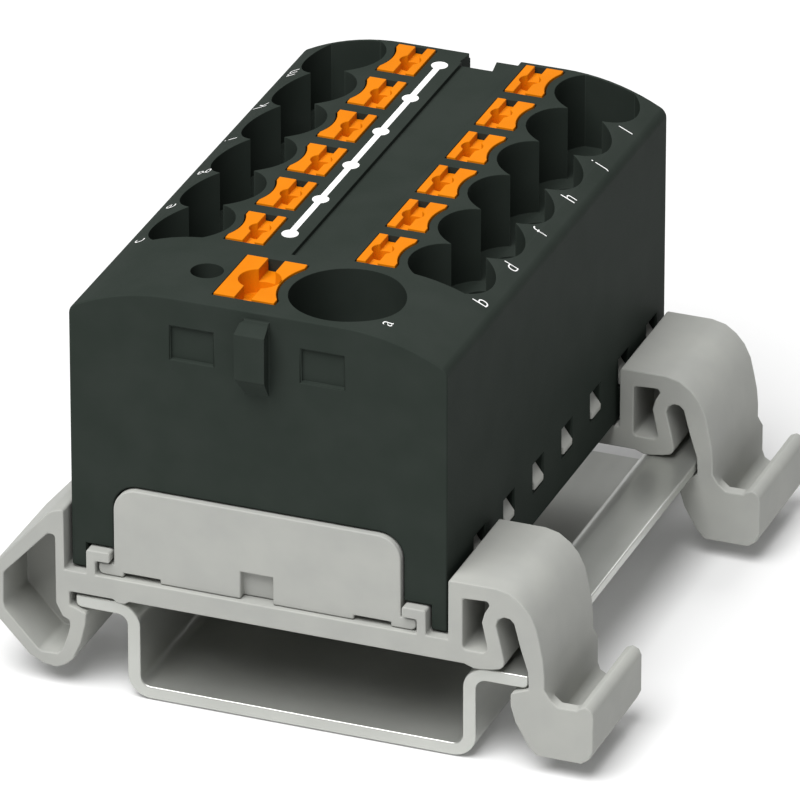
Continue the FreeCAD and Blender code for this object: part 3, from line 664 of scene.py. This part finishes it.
@dataclass
class Printing:
    """The white line with its dots, and the small letters beside the entries, in millimetres."""

    material: bpy.types.Material
    top: float = 32.7
    first: float = -10.25
    pitch: float = 6.05
    per_row: int = 6
    line_x: float = -5.83
    line_width: float = 0.48
    dot_width: float = 1.25
    dot_corners: int = 48
    ink: float = 0.03
    letter_size: float = 1.62
    thinner: float = 0.02
    hover: float = 1.0
    supply_place: tuple[float, float] = (6.15, -20.75)
    left_row: str = "cegikm"
    left_x: float = -16.3
    left_lag: float = -2.25
    right_row: str = "bdfhjl"
    right_x: float = 10.4
    right_lag: float = -2.57

    def line(self) -> bpy.types.Object:
        """Print the line and its dots as one thin piece.

        Returns:
            The piece.
        """
        bpy.ops.object.select_all(action="DESELECT")
        steps = self.per_row - 1
        middle = self.first + steps / 2 * self.pitch
        bpy.ops.mesh.primitive_cube_add(
            size=1.0, location=(self.line_x * MM, middle * MM, self.top * MM))
        bar = bpy.context.object
        bar.name = "printed_line"
        bar.scale = (self.line_width * MM, steps * self.pitch * MM, 2 * self.ink * MM)
        settle(bar)
        for step in range(self.per_row):
            self.dot(bar, self.first + step * self.pitch)
        return self.finish(bar)

    def dot(self, bar: bpy.types.Object, y: float) -> None:
        """Join one round dot to the line.

        Args:
            bar: The line.
            y: The dot's place along the rail, in millimetres.
        """
        bpy.ops.mesh.primitive_cylinder_add(
            vertices=self.dot_corners, radius=self.dot_width / 2 * MM, depth=2 * self.ink * MM,
            location=(self.line_x * MM, y * MM, self.top * MM))
        spot = bpy.context.object
        settle(spot)
        only(bar)
        union = bar.modifiers.new("dot", "BOOLEAN")
        union.operation = "UNION"
        union.solver = "EXACT"
        union.object = spot
        bpy.ops.object.modifier_apply(modifier=union.name)
        bpy.data.objects.remove(spot)

    def letter(self, text: str, x: float, y: float, skin: bpy.types.Object) -> bpy.types.Object:
        """Print one letter, laid onto the crowned top.

        Args:
            text: The letter.
            x: Its baseline across the rail, in millimetres.
            y: Its middle along the rail, in millimetres.
            skin: The surface that carries it.

        Returns:
            The piece.
        """
        bpy.ops.object.select_all(action="DESELECT")
        bpy.ops.object.text_add(location=(0.0, 0.0, 0.0))
        piece = bpy.context.object
        piece.name = f"printed_letter_{text}"
        piece.data.body = text
        piece.data.size = self.letter_size * MM
        piece.data.align_x = "CENTER"
        piece.data.offset = -self.thinner * MM
        bpy.ops.object.convert(target="MESH")
        piece = bpy.context.object
        piece.matrix_world = (
            Matrix.Translation((x * MM, y * MM, (self.top + self.hover) * MM))
            @ Matrix.Rotation(math.pi / 2, 4, "Z")
        )
        settle(piece)
        wrap = piece.modifiers.new("lay_on", "SHRINKWRAP")
        wrap.target = skin
        wrap.wrap_method = "PROJECT"
        wrap.use_project_z = True
        wrap.use_negative_direction = True
        wrap.use_positive_direction = False
        wrap.offset = self.ink * MM
        bpy.ops.object.modifier_apply(modifier=wrap.name)
        return self.finish(piece)

    def finish(self, piece: bpy.types.Object) -> bpy.types.Object:
        """Dress a print and fix it to the block.

        Args:
            piece: The print.

        Returns:
            The same piece.
        """
        dress(piece, self.material)
        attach(piece, "block")
        LOG.info("%s: printed", piece.name)
        return piece

    def build(self, skin: bpy.types.Object) -> None:
        """Print everything.

        Args:
            skin: The housing, which carries the print.
        """
        self.line()
        self.letter("a", *self.supply_place, skin)
        for step, (left, right) in enumerate(zip(self.left_row, self.right_row)):
            y = self.first + step * self.pitch
            self.letter(left, self.left_x, y + self.left_lag, skin)
            self.letter(right, self.right_x, y + self.right_lag, skin)


@dataclass(frozen=True)
class SoftLamp:
    """A round soft lamp that faces the block."""

    name: str
    place: Point
    size: float
    power: float
    aim: Point = (0.0, 0.0, 0.015)

    def hang(self) -> None:
        """Hang the lamp."""
        data = bpy.data.lights.new(self.name, "AREA")
        data.shape = "DISK"
        data.size = self.size
        data.energy = self.power
        lamp = bpy.data.objects.new(self.name, data)
        bpy.context.scene.collection.objects.link(lamp)
        lamp.location = self.place
        facing = Vector(self.aim) - Vector(self.place)
        lamp.rotation_euler = facing.to_track_quat("-Z", "Y").to_euler()


@dataclass
class Studio:
    """The pale floor, the soft lights and the camera at the photograph's view."""

    location: Point = (0.26691203, -0.69648614, 0.39758861)
    azimuth: float = 21.06
    elevation: float = 27.13
    lens: float = 513.81
    sensor: float = 36.0
    nearest: float = 0.01
    farthest: float = 20.0
    floor_size: float = 6.0
    floor_z: float = -0.1 * MM
    air_light: float = 0.2
    lamps: tuple[SoftLamp, ...] = (
        SoftLamp("soft_box", place=(-0.1, -0.4, 0.82), size=0.8, power=13.0),
        SoftLamp("back_lamp", place=(0.05, 0.7, 0.6), size=0.5, power=2.0),
    )

    def floor(self) -> bpy.types.Object:
        """Lay the floor.

        Returns:
            The floor.
        """
        bpy.ops.object.select_all(action="DESELECT")
        bpy.ops.mesh.primitive_plane_add(size=self.floor_size, location=(0.0, 0.0, self.floor_z))
        floor = bpy.context.object
        floor.name = "studio_floor"
        settle(floor)
        dress(floor, FLOOR_PAPER.make())
        return floor

    def camera(self) -> None:
        """Set the camera at the photograph's view."""
        data = bpy.data.cameras.new("photo_view")
        data.sensor_width = self.sensor
        data.lens = self.lens
        data.clip_start = self.nearest
        data.clip_end = self.farthest
        camera = bpy.data.objects.new("photo_view", data)
        bpy.context.scene.collection.objects.link(camera)
        turn, tilt = math.radians(self.azimuth), math.radians(self.elevation)
        camera.matrix_world = (
            Matrix.Translation(self.location)
            @ Matrix.Rotation(turn, 4, "Z")
            @ Matrix.Rotation(math.pi / 2 - tilt, 4, "X")
        )
        bpy.context.scene.camera = camera

    def sky(self) -> None:
        """Fill the room with an even pale light."""
        world = bpy.data.worlds.new("studio_air")
        world.use_nodes = True
        shade = world.node_tree.nodes["Background"]
        shade.inputs["Color"].default_value = (1.0, 1.0, 1.0, 1.0)
        shade.inputs["Strength"].default_value = self.air_light
        bpy.context.scene.world = world

    def build(self) -> None:
        """Set the whole studio."""
        bpy.context.scene.view_settings.view_transform = "Standard"
        self.floor()
        for lamp in self.lamps:
            lamp.hang()
        self.sky()
        self.camera()


def main() -> None:
    """Dress the block, print it and set the studio."""
    black, grey, orange = BLACK_PLASTIC.make(), GREY_PLASTIC.make(), ORANGE_PLASTIC.make()
    zinc, copper, steel = ZINC_STEEL.make(), TINNED_COPPER.make(), SPRING_STEEL.make()
    housing = RoundedHousing().build(black)
    SnapBase().build(grey)
    for foot in ("rail_foot_front", "rail_foot_rear"):
        RailFoot(foot).build(grey)
    TopHatRail().build(zinc)
    for letter in LETTERS:
        terminal = PushInTerminal(letter)
        terminal.button(orange)
        terminal.spring(steel)
    redress("current_bar", copper)
    Printing(WHITE_INK.make()).build(housing)
    Studio().build()


if __name__ == "__main__":
    main()
